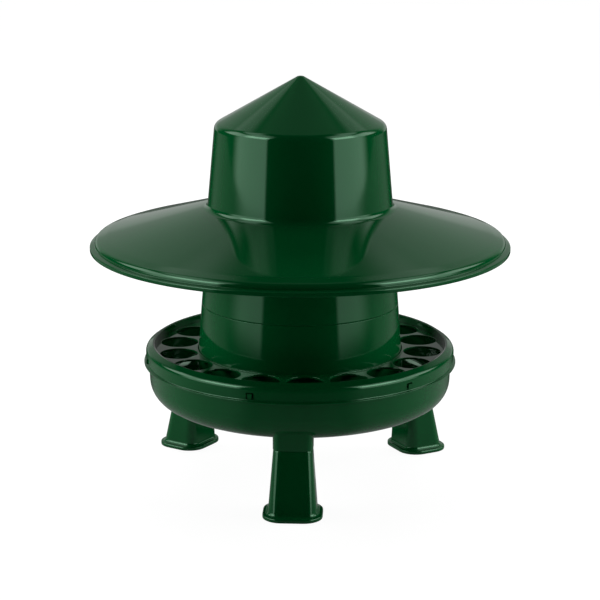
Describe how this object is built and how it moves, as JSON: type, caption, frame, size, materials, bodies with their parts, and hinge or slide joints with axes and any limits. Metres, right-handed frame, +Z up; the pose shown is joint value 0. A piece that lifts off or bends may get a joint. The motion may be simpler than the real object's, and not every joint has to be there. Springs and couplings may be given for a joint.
{
  "type": "poultry feeder",
  "caption": "Free-standing poultry feeder: a pointed rain hat over a tapered hopper, a grille ring with round feeding holes on a round pan, on short flared legs.",
  "frame": {"origin": "on the feeder's axis, at ground level under the feet", "axes": "+Z up along the feeder's axis; leg_1 points to -Y"},
  "size_m": [0.5, 0.4998, 0.4808],
  "materials": {
    "green_plastic": "glossy moulded plastic, dark green"
  },
  "bodies": {
    "root": {"rain_hat": "green_plastic", "hopper_barrel": "green_plastic", "hopper_collar": "green_plastic", "grille_ring": "green_plastic", "feed_pan": "green_plastic", "leg_1": "green_plastic", "leg_2": "green_plastic", "leg_3": "green_plastic"}
  },
  "joints": []
}
